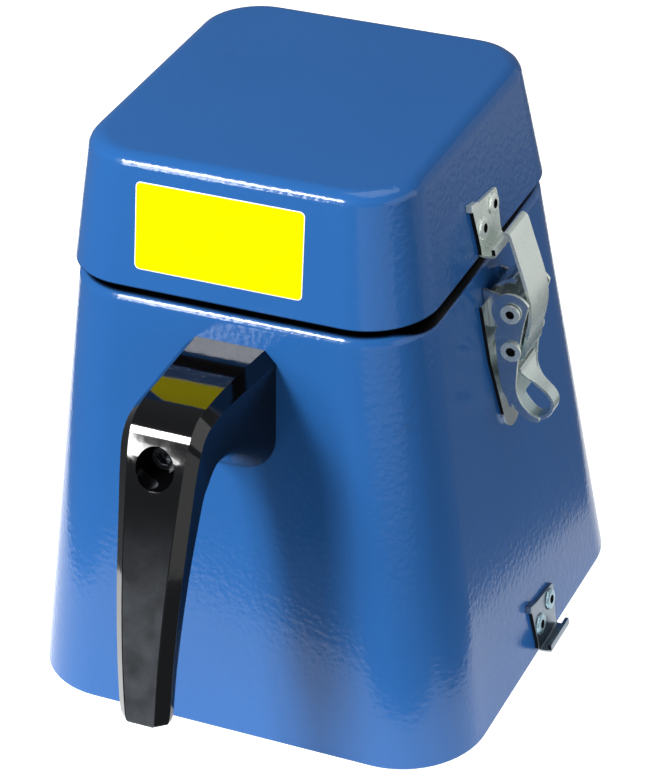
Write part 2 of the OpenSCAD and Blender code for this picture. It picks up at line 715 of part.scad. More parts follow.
module blind_rivet(head_r, grip) {
    difference() {
        union() {
            translate([0, 0, -grip - 2]) cylinder(r = rivet_r, h = grip + 2, $fn = 48);
            rotate_extrude($fn = 48) polygon([[0, 0], [head_r, 0], [head_r, 0.35],
                [head_r - 0.7, 0.95], [head_r - 1.9, 1.2], [0, 1.2]]);
        }
        cylinder(r = 1.9, h = 3, $fn = 32);
    }
}
module lid_keeper() {
    color(steel) on_lid_side() translate([0, 0, -keeper_drop]) hook_plate(lid_keeper_y);
}
module lid_keeper_rivets() {
    color(steel) on_lid_side() translate([0, 0, -keeper_drop]) rivets_through(lid_keeper_y, keeper_t, lid_wall);
}
module lower_keeper() {
    color(steel) on_side() translate([0, 0, lower_keeper_z]) hook_plate(lower_keeper_y);
}
module lower_keeper_rivets() {
    color(steel) on_side() translate([0, 0, lower_keeper_z])
        rivets_through(lower_keeper_y, keeper_t, wall);
}

// Latch: everything in this frame is measured from the fixed pin, seen from the front. It is drawn
// beside a wall that leans by drawn_lean, and turns with the wall when that leans otherwise
drawn_lean = atan(23 / 190);
module at_latch() {
    translate([pin_x, latch_y, pin_z]) rotate([0, drawn_lean - lean_x, 0]) children();
}
module at_pin(w) {
    at_latch() translate([0, w / 2, 0]) rotate([90, 0, 0]) linear_extrude(w) children();
}
module cross_pin(z, r, w) {
    at_latch() translate([0, 0, z]) rotate([90, 0, 0]) cylinder(r = r, h = w, center = true, $fn = 64);
}
function plate_x(z) = -pin_off * cos(lean_x) / cos(drawn_lean) - z * tan(drawn_lean);
module latch_base() {
    w0 = pin_z / cos(lean_x);
    tail = 52;
    tab = [[plate_x(0) + 0.7, -1], [plate_x(4) + 0.8, 4.4], [-8.8, 8.4], [-5, 11.4], [-1.6, 12.6]];
    color(steel) difference() {
        union() {
            on_side() translate([0, latch_y, 0]) rotate([90, 0, 90]) linear_extrude(latch_t) union() {
                polygon([[-15.5, w0 + 2], [14.5, w0 + 3.5], [14.5, w0 - 24], [9, w0 - tail],
                    [-9, w0 - tail], [-14.5, w0 - 24]]);
                translate([0, w0 - tail]) circle(r = 9, $fn = 48);
            }
            for (s = [-1, 1]) translate([0, s * (ear_in + latch_t / 2), 0]) at_pin(latch_t)
                difference() {
                    union() {
                        circle(r = pin_r + 2.7, $fn = 48);
                        polygon([[plate_x(7.5) + 0.3, 7.5], [0.8, pin_r + 2.6], [1.5, -pin_r - 2.2],
                            [plate_x(-10) + 0.3, -10]]);
                    }
                    circle(r = pin_r + run_gap, $fn = 64);
                }
            at_pin(14) strip(curve(tab, 5), latch_t);
            at_latch() translate([-1.2, 0, 11.8]) rotate([90, 0, 0])
                cylinder(r = 1.5, h = 14, center = true, $fn = 32);
        }
        on_side() for (p = latch_rivets_at)
            translate([-cut, latch_y + p[0], (pin_z + p[1]) / cos(lean_x)])
                rotate([0, 90, 0]) cylinder(r = rivet_r + fit_gap, h = latch_t + 2 * cut, $fn = 32);
    }
}
module latch_rivets() {
    color(steel) on_side() for (p = latch_rivets_at)
        translate([latch_t, latch_y + p[0], (pin_z + p[1]) / cos(lean_x)])
            rotate([0, 90, 0]) blind_rivet(4, latch_t + wall);
}
head_gap = free_gap;
module latch_pin() {
    color(steel) difference() {
        union() {
            cross_pin(0, pin_r, lever_w + 2 * head_gap + 2);
            for (s = [-1, 1]) translate([0, s * (cheek_out + head_gap + 0.6), 0]) cross_pin(0, pin_r + 1.7, 1.2);
        }
        for (s = [-1, 1]) translate([0, s * (cheek_out + head_gap + 1.2), 0]) cross_pin(0, pin_r - 0.7, 2.4);
    }
}
module claw_pin() {
    color(steel) difference() {
        union() {
            cross_pin(-pin_pitch, claw_pin_r, lever_w + 2);
            for (s = [-1, 1]) translate([0, s * (cheek_out + 0.6), 0]) cross_pin(-pin_pitch, claw_pin_r + 2.4, 1.2);
        }
        for (s = [-1, 1]) translate([0, s * (cheek_out + 1.2), 0]) cross_pin(-pin_pitch, claw_pin_r, 2);
    }
}
cheek_r = 8.6;
module cheek_outline() {
    foot = -pin_pitch;
    inner = [[-7.2, -11], [-6.5, foot - 3.4], [-5.3, foot - 13.4], [-3.9, foot - 20.4], [0.7, foot - 26.4],
        [3.6, foot - 29.6], [6.8, foot - 31.6], [10, foot - 32], [12, foot - 31.2], [11.6, foot - 29.8]];
    outer = [[8.6, foot - 29], [4.4, foot - 25], [2.2, foot - 20], [1.8, foot - 15], [2.6, foot - 5.4],
        [3.8, foot + 4.6], [5.4, -4]];
    polygon(concat([for (a = [30:6:228]) cheek_r * [cos(a), sin(a)]], curve(inner, 3), curve(outer, 3)));
}
module latch_lever() {
    foot = -pin_pitch;
    loop = [[-4.6, foot - 10.8], [-3.8, foot - 17.6], [-2.9, foot - 23.6], [-1.2, foot - 29.1],
        [1.6, foot - 33.1], [5, foot - 36.1], [8.5, foot - 36.6], [12.3, foot - 34.3], [14.4, foot - 31.1],
        [14.7, foot - 27.1], [12.6, foot - 23.4], [8.6, foot - 20.1], [4.6, foot - 16.6], [2.9, foot - 13.4],
        [2.2, foot - 10.2]];
    color(steel) difference() {
        union() {
            for (s = [-1, 1]) translate([0, s * (cheek_in + latch_t / 2), 0]) at_pin(latch_t) cheek_outline();
            intersection() {
                at_pin(2 * cheek_in) strip(curve(loop, 4), -latch_t);
                at_latch() union() {
                    translate([-20, 0, 0]) rotate([90, 0, 90]) linear_extrude(60) loop_mask(foot);
                    translate([-20, -cheek_in - 0.1, foot - 28]) cube([20, 2 * cheek_in + 0.2, 20]);
                }
            }
        }
        cross_pin(0, pin_r + run_gap, lever_w + 2);
        cross_pin(foot, claw_pin_r + run_gap, lever_w + 2);
    }
}
// The loop is wide where it starts below the strap and narrow round the finger
module loop_mask(z) {
    wide = strap_w / 2 - 0.5;
    slim = loop_w / 2;
    polygon([[-slim, z - 45], [slim, z - 45], [slim, z - 19], [slim + 1.2, z - 17], [wide - 1, z - 12.6],
        [wide, z], [-wide, z], [-wide + 1, z - 12.6], [-slim - 1.2, z - 17], [-slim, z - 19]]);
}
module spring_claw() {
    foot = -pin_pitch;
    tip_r = 2.4;
    curl_r = 2.8;
    strap = concat(arc([-3.2, 32.4], tip_r, 110, 20, 6),
        curve([[0.1, 30], [1.9, 23.8], [4.7, 14.8], [6.9, 6.4], [7.7, 0], [7.2, -6.4], [5.7, -13.6],
            [4.9, foot - 1]], 4),
        arc([2, foot - 2.6], curl_r, 0, -130, 6));
    color(steel) difference() {
        union() {
            at_pin(strap_w) strip(strap, strap_t);
            cross_pin(foot, claw_pin_r + 2, strap_w);
        }
        cross_pin(foot, claw_pin_r + run_gap, strap_w + 2);
    }
}

// Handle: sections from the wall round the bend to the tip, as front point, back point and half width
function grip_hw(z) = tip_hw + (bend_hw - tip_hw) * (z - 60) / (body_h - 75);
module handle_section(s) {
    front = s[0];
    back = s[1];
    t = norm(front - back);
    hw = s[2];
    b = s[3];
    r = s[4];
    translate([handle_x, -back[0], back[1]])
        rotate([180 - atan2(front[1] - back[1], front[0] - back[0]), 0, 0]) linear_extrude(0.02)
            polygon(concat([[-hw + b, t], [-hw, t - b]],
                [for (a = [0:22.5:90]) [-hw + r - r * cos(a), r - r * sin(a)]],
                [for (a = [90:-22.5:0]) [hw - r + r * cos(a), r - r * sin(a)]],
                [[hw, t - b], [hw - b, t]]));
}
module handle() {
    up = body_h - 190;
    stations = [
        [[side_y(177.5 + up), 177.5 + up], [side_y(124 + up), 124 + up], root_hw, 5, 16],
        [[100, 178.4 + up], [103, 136 + up], root_hw - (root_hw - bend_hw) * 0.4, 4.8, 12],
        [[116, 178.8 + up], [118, 148.5 + up], bend_hw + 0.7, 4.5, 7],
        [[130, 178.6 + up], [129.5, 153 + up], bend_hw + 0.2, grip_bevel, 4],
        [[139.5, 176.6 + up], [135, 151.5 + up], bend_hw, grip_bevel, 3.5],
        [[145.6, 171 + up], [138.6, 148.6 + up], bend_hw - 0.1, grip_bevel, 3.5],
        [[150.6, 161 + up], [141.8, 144 + up], grip_hw(161), grip_bevel, 3.5],
        [[157.2, 143.5 + up], [146.2, 132.6 + up], grip_hw(143), grip_bevel, 3.5],
        [[163.8, 124.2 + up], [152, 118 + up], grip_hw(124), grip_bevel, 3.5],
        [[169.6, 104 + up], [158.4, 99.6 + up], grip_hw(104), grip_bevel, 3.5],
        [[174.4, 83 + up], [164, 80 + up], grip_hw(83), grip_bevel, 3.5],
        [[177.8, 61.5 + up], [168.4, 60 + up], grip_hw(61), grip_bevel, 3],
        [[178, 58 + up], [169.4, 57.4 + up], grip_hw(58) - 1.6, grip_bevel - 0.4, 2.5]];
    color(black) difference() {
        for (i = [0:len(stations) - 2]) hull() {
            handle_section(stations[i]);
            handle_section(stations[i + 1]);
        }
        translate([handle_x, -recess_floor, screw_z]) rotate([90, 0, 0])
            cylinder(r = recess_r, h = 40, $fn = 48);
        translate([handle_x, 0, screw_z]) rotate([90, 0, 0])
            cylinder(r = screw_r + fit_gap, h = recess_floor + cut, $fn = 32);
    }
}
inner_wall_y = side_y(screw_z) - wall - 1;
module handle_screw() {
    color(steel) translate([handle_x, -recess_floor, screw_z]) rotate([-90, 0, 0]) difference() {
        union() {
            cylinder(r = screw_r, h = recess_floor - inner_wall_y + 6, $fn = 48);
            translate([0, 0, -5]) cylinder(r = 5, h = 5, $fn = 48);
        }
        translate([0, 0, -5 - cut]) cylinder(r = 2.9, h = 3.5 + cut, $fn = 6);
    }
}
module handle_nut() {
    color(steel) translate([handle_x, -inner_wall_y + 5.2, screw_z]) rotate([90, 0, 0]) difference() {
        union() {
            cylinder(r = 5.7, h = 4.4, $fn = 6);
            translate([0, 0, 4.4]) cylinder(r = 7, h = 0.4, $fn = 48);
        }
        translate([0, 0, -cut]) cylinder(r = screw_r + fit_gap / 2, h = 4.8 + 2 * cut, $fn = 48);
    }
}

// Hinge on the left side
hinge_pin_r = 2;
knuckle_r = 4;
hinge_x = -(lid_hx + knuckle_r + 0.6);
hinge_z = body_h + seam_gap / 2;
knuckle = 20;
hinge_half = 30;
module knuckle_at(y0, y1) {
    translate([hinge_x, y0, hinge_z]) rotate([-90, 0, 0])
        cylinder(r = knuckle_r, h = y1 - y0, $fn = 64);
}
module leaf_hole() {
    translate([hinge_x, -hinge_half - cut, hinge_z]) rotate([-90, 0, 0])
        cylinder(r = hinge_pin_r + run_gap, h = 2 * hinge_half + 2 * cut, $fn = 64);
}
leaf_t = 2;
leaf_h = 20;
module hinge_leaf_body() {
    color(steel) difference() {
        union() {
            for (s = [-1, 1]) {
                knuckle_at(s > 0 ? knuckle / 2 + free_gap : -hinge_half, s > 0 ? hinge_half : -knuckle / 2 - free_gap);
                translate([hinge_x - knuckle_r, s > 0 ? knuckle / 2 + free_gap : -hinge_half, hinge_z - 9])
                    cube([leaf_t + 0.6, hinge_half - knuckle / 2 - free_gap, 9]);
            }
            mirror([1, 0, 0]) on_side() translate([0, -hinge_half, (body_h - 8) / cos(lean_x) - leaf_h])
                cube([leaf_t, 2 * hinge_half, leaf_h]);
            translate([hinge_x - knuckle_r, -hinge_half, hinge_z - 13])
                cube([-hinge_x - side_x(hinge_z - 11) + knuckle_r - 0.8, 2 * hinge_half, 4.2]);
        }
        leaf_hole();
    }
}
module hinge_leaf_lid() {
    color(steel) difference() {
        union() {
            knuckle_at(-knuckle / 2, knuckle / 2);
            translate([hinge_x, -knuckle / 2, seam_z + 1])
                cube([-hinge_x - lid_x(seam_z + 1) - 0.3, knuckle, 3]);
            mirror([1, 0, 0]) on_lid_side() translate([0, -hinge_half, 2]) cube([leaf_t, 2 * hinge_half, leaf_h]);
        }
        leaf_hole();
    }
}
module hinge_pin() {
    color(steel) translate([hinge_x, 0, hinge_z]) rotate([90, 0, 0])
        cylinder(r = hinge_pin_r, h = 2 * hinge_half, center = true, $fn = 64);
}

// Rear fittings
inlet_flange_t = 2.5;
inlet_depth = 16;
pin_tip = 7;
module power_inlet() {
    color(black) on_rear() translate([inlet_at[0], 0, inlet_at[1]]) difference() {
        union() {
            rotate([-90, 0, 0]) linear_extrude(inlet_flange_t) plate(17, 13, 3);
            translate([-inlet_body[0] / 2, -20, -inlet_body[1] / 2]) cube([inlet_body[0], 20, inlet_body[1]]);
        }
        translate([0, inlet_flange_t - inlet_depth, 0]) rotate([-90, 0, 0]) linear_extrude(inlet_depth + cut)
            polygon([[-12.2, 8.2], [12.2, 8.2], [12.2, -4], [8, -8.2], [-8, -8.2], [-12.2, -4]]);
        for (p = inlet_pins_at) translate([p[0] - 1 - fit_gap, -21, p[1] - 2 - fit_gap])
            cube([2 + 2 * fit_gap, 10, 4 + 2 * fit_gap]);
    }
}
inlet_pins_at = [[-7, -2], [0, 2], [7, -2]];
module inlet_pins() {
    color(steel) on_rear() translate([inlet_at[0], 0, inlet_at[1]]) for (p = inlet_pins_at)
        translate([p[0] - 1, -25, p[1] - 2]) cube([2, 25 + inlet_flange_t - pin_tip, 4]);
}
well = [11, 18.4];
rocker_pivot = -3;
rocker_tilt = 9;
module rocker_housing() {
    color(black) on_rear() translate([rocker_at[0], 0, rocker_at[1]]) difference() {
        union() {
            rotate([-90, 0, 0]) linear_extrude(2) plate(rocker_body[0] / 2 + 1.5, rocker_body[1] / 2 + 1.5, 2);
            translate([-rocker_body[0] / 2, -16, -rocker_body[1] / 2]) cube([rocker_body[0], 16, rocker_body[1]]);
        }
        translate([-well[0] / 2, -9, -well[1] / 2]) cube([well[0], 9 + 2 + cut, well[1]]);
        translate([0, rocker_pivot, 0]) rotate([0, 90, 0])
            cylinder(r = 1 + run_gap, h = well[0] + 2, center = true, $fn = 32);
    }
}
module rocker_button() {
    w = well[0] - 2 * free_gap;
    color("#202226") on_rear() translate([rocker_at[0], rocker_pivot, rocker_at[1]]) rotate([-rocker_tilt, 0, 0]) union() {
        translate([-w / 2, 0, 0]) rotate([90, 0, 90]) linear_extrude(w)
            polygon(concat([for (a = [-90:15:90]) [-1.6 + 1.2 * -cos(a), 2.4 * sin(a)]],
                [[2.6, 7.4], [5.2, 7.6], [3.9, 3], [3.5, 0], [3.9, -3], [5.2, -7.6], [2.6, -7.4]]));
        rotate([0, 90, 0]) cylinder(r = 1, h = well[0] + 1.4, center = true, $fn = 32);
    }
}

housing_shell();
base_plate();
base_screws();
rubber_feet();
foot_screws();
deck_plate();
deck_screws();
lid_gasket();
grinding_chamber();
chamber_screws();
shaft_seal();
standoffs();
motor_bracket();
upper_end_bell();
lower_end_bell();
stator_core();
field_coils();
upper_bearing();
lower_bearing();
brush_holders();
carbon_brushes();
brush_caps();
handle();
handle_screw();
handle_nut();
latch_base();
latch_rivets();
latch_pin();
lower_keeper();
lower_keeper_rivets();
hinge_leaf_body();
hinge_pin();
power_inlet();
inlet_pins();
rocker_housing();
interlock_switch();
motor_shaft();
armature_core();
armature_winding();
commutator();
cooling_fan();
cutting_blade();
blade_nut();
lid_shell();
lid_liner();
liner_screws();
chamber_cover();
cover_seal();
lid_keeper();
lid_keeper_rivets();
hinge_leaf_lid();
interlock_tongue();
latch_lever();
claw_pin();
spring_claw();
rocker_button();
interlock_plunger();
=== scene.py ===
import json
import math

import bmesh
import bpy
from mathutils import Matrix, Vector
from mathutils.bvhtree import BVHTree


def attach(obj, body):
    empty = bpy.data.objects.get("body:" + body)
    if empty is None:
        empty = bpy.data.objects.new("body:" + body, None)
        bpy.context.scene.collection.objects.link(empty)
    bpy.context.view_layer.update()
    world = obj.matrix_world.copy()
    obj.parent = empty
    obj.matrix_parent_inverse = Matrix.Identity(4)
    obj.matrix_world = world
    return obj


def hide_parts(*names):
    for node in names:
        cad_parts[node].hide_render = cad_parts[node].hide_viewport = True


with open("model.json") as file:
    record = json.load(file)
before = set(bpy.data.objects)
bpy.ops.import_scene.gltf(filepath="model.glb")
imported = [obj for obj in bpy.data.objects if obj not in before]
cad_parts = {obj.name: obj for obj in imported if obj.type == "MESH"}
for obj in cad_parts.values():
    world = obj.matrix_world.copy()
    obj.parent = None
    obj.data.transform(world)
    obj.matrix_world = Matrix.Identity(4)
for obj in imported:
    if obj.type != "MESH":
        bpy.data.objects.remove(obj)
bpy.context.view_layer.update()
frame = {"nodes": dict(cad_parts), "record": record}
mill = frame["nodes"]
scene = bpy.context.scene

# Lengths below are in millimetres on the drawing and become metres through MM
MM = 0.001
BODY_HEIGHT = 190 * MM
LID_EDGE = 194 * MM
LID_HEIGHT = 53.5 * MM
LID_FRONT = 82 * MM
CROWN_FRONT = 72 * MM
BENCH = -8 * MM
HANDLE_X = 0.8 * MM
GRIP_SCREW_Z = 160.5 * MM
# The widest bore, so that walls which face each other this closely belong to a hole
BORE_WIDTH = 4.4 * MM


# ---------------------------------------------------------------- finishes
class Value:
    """One socket of a finish; sums written with it become Math nodes."""

    def __init__(self, finish, socket):
        self.finish = finish
        self.socket = socket

    def sum(self, operation, first, second):
        return self.finish.node("Math", {"operation": operation}, {0: first, 1: second})

    def __add__(self, other):
        return self.sum("ADD", self, other)

    __radd__ = __add__

    def __sub__(self, other):
        return self.sum("SUBTRACT", self, other)

    def __rsub__(self, other):
        return self.sum("SUBTRACT", other, self)

    def __mul__(self, other):
        return self.sum("MULTIPLY", self, other)


class Finish:
    """A material on Object coordinates with one Principled shader."""

    def __init__(self, name, colour, roughness, metallic=0.0, **constants):
        self.material = bpy.data.materials.new(name)
        self.material.use_nodes = True
        self.tree = self.material.node_tree
        self.shader = self.tree.nodes["Principled BSDF"]
        self.place = self.node("TexCoord", {}, {}, "Object")
        self.set("Base Color", colour)
        self.set("Roughness", roughness)
        self.set("Metallic", metallic)
        for socket, value in constants.items():
            self.set(socket.replace("_", " "), value)
        self.heights = None

    def set(self, socket, value):
        target = self.shader.inputs[socket]
        if isinstance(value, Value):
            self.tree.links.new(value.socket, target)
        elif hasattr(value, "__len__"):
            target.default_value = tuple(value) + (1.0,) * (4 - len(value))
        else:
            target.default_value = value

    def node(self, kind, settings, sockets, out=0):
        made = self.tree.nodes.new("ShaderNode" + kind)
        for key, setting in settings.items():
            setattr(made, key, setting)
        for key, value in sockets.items():
            if isinstance(value, Value):
                self.tree.links.new(value.socket, made.inputs[key])
            elif hasattr(value, "__len__") and made.inputs[key].type == "RGBA":
                made.inputs[key].default_value = tuple(value) + (1.0,) * (4 - len(value))
            else:
                made.inputs[key].default_value = value
        return Value(self, made.outputs[out])

    def noise(self, size, detail=2.0, roughness=0.5, place=None):
        """Cloudy pattern whose blotches are about size millimetres across."""
        return self.node("TexNoise", {}, {"Vector": place or self.place, "Scale": 1000.0 / size,
                                          "Detail": detail, "Roughness": roughness})

    def cells(self, size, **more):
        """Rounded cells about size millimetres across."""
        return self.node("TexVoronoi", {"feature": "SMOOTH_F1"},
                         {"Vector": self.place, "Scale": 1000.0 / size, **more})

    def span(self, value, low, high, to_low=0.0, to_high=1.0):
        """A smooth step of a value between two of its levels."""
        return self.node("MapRange", {"interpolation_type": "SMOOTHSTEP"},
                         {"Value": value, "From Min": low, "From Max": high,
                          "To Min": to_low, "To Max": to_high})

    def blend(self, share, first, second):
        return self.node("Mix", {"data_type": "RGBA"}, {0: share, 6: first, 7: second}, 2)

    def tones(self, share, first, second):
        """Lets the base colour wander between two tones."""
        self.set("Base Color", self.blend(share, first, second))

    def along(self, axis):
        return self.node("SeparateXYZ", {}, {0: self.place}, axis)

    def stretched(self, x, y, z):
        return self.node("Mapping", {}, {"Vector": self.place, "Scale": (x, y, z)})

    def relief(self, height, depth):
        """Adds a bump of so many millimetres under the shader's normal."""
        sockets = {"Height": height, "Distance": depth * MM, "Strength": 1.0}
        if self.heights is not None:
            sockets["Normal"] = self.heights
        self.heights = self.node("Bump", {}, sockets)
        self.set("Normal", self.heights)


def blue_enamel():
    finish = Finish("blue_enamel", (0.014, 0.1, 0.34), 0.2, Specular_IOR_Level=0.34)
    smudge = finish.span(finish.noise(17, 4, 0.6), 0.66, 0.8)
    tone = finish.blend(finish.noise(60, 3), (0.015, 0.09, 0.285), (0.018, 0.102, 0.315))
    tone = finish.blend(smudge * 0.35, tone, (0.02, 0.045, 0.11))
    # Painted shade: the seam between body and lid is painted near black, and the painted band is
    # deeper towards the front of the right side
    height = finish.along("Z")
    painted_shade_reach = finish.span(finish.along("X"), 66 * MM, 78 * MM, 0.0, 2.7 * MM)
    painted_shade_reach = painted_shade_reach * finish.span(finish.along("Y"), 75 * MM, -50 * MM)
    painted_shade_above_shoulder = finish.span(height + painted_shade_reach, BODY_HEIGHT - 1.4 * MM, BODY_HEIGHT - 0.4 * MM)
    painted_seam_shade = painted_shade_above_shoulder * finish.span(height, LID_EDGE + 0.6 * MM, LID_EDGE - 0.2 * MM)
    finish.tones(painted_seam_shade, tone, (0.001, 0.001, 0.0015))
    finish.set("Metallic", painted_seam_shade)
    finish.set("Roughness", 0.12 + finish.noise(5, 3) * 0.08 + smudge * 0.12 + painted_seam_shade * 0.3)
    finish.relief(finish.cells(2.3, Smoothness=1.0), 0.09)
    finish.relief(finish.noise(1.2, 2), 0.035)
    return finish.material


def zinc_plate():
    finish = Finish("zinc_plate", (0.7, 0.76, 0.78), 0.22, 1.0)
    cloud = finish.noise(7, 3, 0.5)
    finish.tones(cloud, (0.62, 0.7, 0.74), (0.8, 0.84, 0.82))
    streaks = finish.noise(0.5, 2, 0.5, finish.stretched(1, 1, 0.08))
    finish.set("Roughness", 0.16 + cloud * 0.1 + streaks * 0.08)
    finish.relief(streaks, 0.006)
    finish.relief(finish.noise(3, 2), 0.03)
    return finish.material


def zinc_painted_highlight(name, low, high):
    """Zinc with a painted highlight, whitish from one height up, and with a painted blue
    reflection, clearer and bluer from another down, in millimetres.
    """
    finish = Finish(name, (0.8, 0.84, 0.8), 0.25, 0.6)
    painted_highlight_share = finish.span(finish.along("Z"), low * MM, high * MM)
    cloud = finish.noise(6, 3)
    clear = finish.blend(cloud, (0.76, 0.84, 0.78), (0.9, 0.95, 0.88))
    finish.tones(painted_highlight_share, (0.3, 0.44, 0.5), clear)
    finish.set("Metallic", 0.92 - painted_highlight_share * 0.42)
    finish.set("Roughness", 0.2 + cloud * 0.16)
    finish.relief(finish.noise(3, 2), 0.02)
    return finish.material


def zinc_painted_shade():
    # Painted shade: a darker copy of the plated zinc, used for the lower hook plate
    finish = Finish("zinc_painted_shade", (0.2, 0.24, 0.28), 0.3, 1.0)
    cloud = finish.noise(6, 3, 0.55)
    finish.tones(cloud, (0.14, 0.18, 0.22), (0.32, 0.37, 0.42))
    finish.set("Roughness", 0.2 + cloud * 0.2)
    finish.relief(finish.noise(2, 3), 0.03)
    return finish.material


def screw_painted_shade():
    # Painted shade: the plated handle screw, darkened to near black deep in its counterbore
    finish = Finish("screw_painted_shade", (0.05, 0.055, 0.065), 0.3, 1.0)
    cloud = finish.noise(2, 3)
    finish.tones(cloud, (0.03, 0.033, 0.04), (0.09, 0.1, 0.11))
    finish.set("Roughness", 0.2 + cloud * 0.2)
    return finish.material


def painted_shade_finish():
    # Painted shade, near black, for the walls of small holes and for the plates' front-facing rims
    finish = Finish("painted_shade_finish", (0.004, 0.004, 0.005), 0.6, Specular_IOR_Level=0.1)
    finish.tones(finish.noise(1, 2), (0.002, 0.002, 0.003), (0.01, 0.01, 0.011))
    return finish.material


def stainless():
    finish = Finish("stainless", (0.6, 0.6, 0.59), 0.25, 1.0)
    rings = finish.noise(0.8, 2, 0.5, finish.stretched(0.15, 0.15, 3))
    finish.tones(finish.noise(8, 3), (0.52, 0.52, 0.51), (0.68, 0.68, 0.67))
    finish.set("Roughness", 0.16 + rings * 0.2)
    finish.relief(rings, 0.004)
    return finish.material


def satin_casting():
    finish = Finish("satin_casting", (0.5, 0.5, 0.51), 0.42, 1.0)
    grit = finish.noise(0.7, 3, 0.6)
    finish.tones(finish.noise(14, 3), (0.44, 0.45, 0.46), (0.56, 0.57, 0.58))
    finish.set("Roughness", 0.34 + grit * 0.2)
    finish.relief(grit, 0.03)
    return finish.material


def core_plates():
    finish = Finish("core_plates", (0.12, 0.12, 0.13), 0.5, 1.0)
    plates = finish.node("TexWave", {"bands_direction": "Z"},
                         {"Vector": finish.place, "Scale": 320.0})
    finish.tones(plates, (0.07, 0.07, 0.08), (0.2, 0.2, 0.21))
    finish.set("Roughness", 0.4 + finish.noise(2, 2) * 0.25)
    finish.relief(plates, 0.05)
    return finish.material


def enamelled_copper():
    finish = Finish("enamelled_copper", (0.55, 0.2, 0.07), 0.28, 1.0)
    turns = finish.node("TexWave", {"bands_direction": "Z"},
                        {"Vector": finish.place, "Scale": 260.0, "Distortion": 1.5})
    finish.tones(turns, (0.35, 0.1, 0.03), (0.72, 0.3, 0.12))
    finish.set("Roughness", 0.22 + turns * 0.15)
    finish.relief(turns, 0.12)
    return finish.material


def handle_black():
    finish = Finish("handle_black", (0.004, 0.004, 0.005), 0.1, Specular_IOR_Level=0.5)
    # The front flat narrows downward and is greyer and rougher on its lower half
    height, across = finish.along("Z"), finish.along("X") - HANDLE_X
    across = finish.node("Math", {"operation": "ABSOLUTE"}, {0: across})
    flat = finish.span(height * 0.0539 + 3.1 * MM - across, 0.0, 0.4 * MM)
    grey_lower_flat = finish.span(height, 150 * MM, 95 * MM) * flat
    grain = finish.noise(1.1, 3, 0.6)
    finish.tones(grey_lower_flat * finish.noise(9, 3), (0.002, 0.002, 0.0025), (0.06, 0.066, 0.075))
    finish.set("Roughness", 0.05 + grey_lower_flat * 0.24 + grey_lower_flat * grain * 0.12 + finish.noise(7, 3) * 0.03)
    finish.relief(grain * grey_lower_flat, 0.02)
    finish.relief(finish.noise(12, 2), 0.06)
    return finish.material


def grained_black():
    finish = Finish("grained_black", (0.015, 0.015, 0.016), 0.45)
    grain = finish.cells(0.7, Smoothness=0.6)
    finish.tones(finish.noise(5, 2), (0.011, 0.011, 0.012), (0.021, 0.021, 0.022))
    finish.set("Roughness", 0.36 + grain * 0.2)
    finish.relief(grain, 0.03)
    return finish.material


def black_rubber():
    finish = Finish("black_rubber", (0.012, 0.012, 0.012), 0.75)
    dust = finish.noise(3, 4, 0.65)
    finish.tones(dust, (0.008, 0.008, 0.008), (0.026, 0.026, 0.027))
    finish.set("Roughness", 0.62 + dust * 0.25)
    finish.relief(finish.noise(0.5, 2), 0.03)
    return finish.material


def red_silicone():
    finish = Finish("red_silicone", (0.3, 0.03, 0.018), 0.5, Subsurface_Weight=0.05)
    cloud = finish.noise(4, 3)
    finish.tones(cloud, (0.24, 0.022, 0.014), (0.36, 0.045, 0.025))
    finish.set("Roughness", 0.4 + cloud * 0.2)
    finish.relief(cloud, 0.03)
    return finish.material


def pressed_carbon():
    finish = Finish("pressed_carbon", (0.02, 0.02, 0.022), 0.55)
    grit = finish.noise(0.4, 3)
    finish.tones(grit, (0.012, 0.012, 0.013), (0.05, 0.05, 0.053))
    finish.relief(grit, 0.02)
    return finish.material


def natural_nylon():
    finish = Finish("natural_nylon", (0.66, 0.62, 0.5), 0.4, Subsurface_Weight=0.08)
    cloud = finish.noise(6, 3)
    finish.tones(cloud, (0.6, 0.56, 0.44), (0.72, 0.68, 0.56))
    finish.set("Roughness", 0.34 + cloud * 0.15)
    finish.relief(finish.noise(1.2, 2), 0.015)
    return finish.material


def glowing_yellow_foil():
    # A faint painted glow (emission) keeps the yellow bright
    finish = Finish("glowing_yellow_foil", (0.95, 0.83, 0.0), 0.3, Specular_IOR_Level=0.0,
                    Emission_Color=(1, 1, 0), Emission_Strength=0.12)
    cloud = finish.noise(11, 3)
    finish.tones(cloud, (0.93, 0.8, 0.0), (0.98, 0.87, 0.001))
    finish.set("Roughness", 0.26 + finish.noise(2.5, 3) * 0.14)
    finish.relief(finish.noise(1.5, 2), 0.012)
    return finish.material


def white_foil():
    finish = Finish("white_foil", (0.82, 0.82, 0.8), 0.35)
    cloud = finish.noise(5, 3)
    finish.tones(cloud, (0.78, 0.78, 0.75), (0.88, 0.88, 0.86))
    finish.set("Roughness", 0.3 + cloud * 0.12)
    return finish.material


FINISHES = {"paint": blue_enamel(), "plated_steel": zinc_plate(), "stainless": stainless(),
            "casting": satin_casting(), "core_iron": core_plates(), "copper": enamelled_copper(),
            "gloss_black": handle_black(), "black_plastic": grained_black(),
            "rubber": black_rubber(), "red_rubber": red_silicone(), "carbon": pressed_carbon(),
            "ivory_plastic": natural_nylon()}
PAINTED_SHADE = painted_shade_finish()


# ---------------------------------------------------------------- bench work
def clear_hands():
    """Leaves edit mode and lets go of every piece."""
    if bpy.context.object and bpy.context.object.mode != "OBJECT":
        bpy.ops.object.mode_set(mode="OBJECT")
    bpy.ops.object.select_all(action="DESELECT")


def take(piece):
    """Makes a piece the only selected one and the active one."""
    clear_hands()
    piece.select_set(True)
    bpy.context.view_layer.objects.active = piece


def edit(piece):
    """Opens a piece in edit mode and gives its editable mesh."""
    take(piece)
    bpy.ops.object.mode_set(mode="EDIT")
    return bmesh.from_edit_mesh(piece.data)


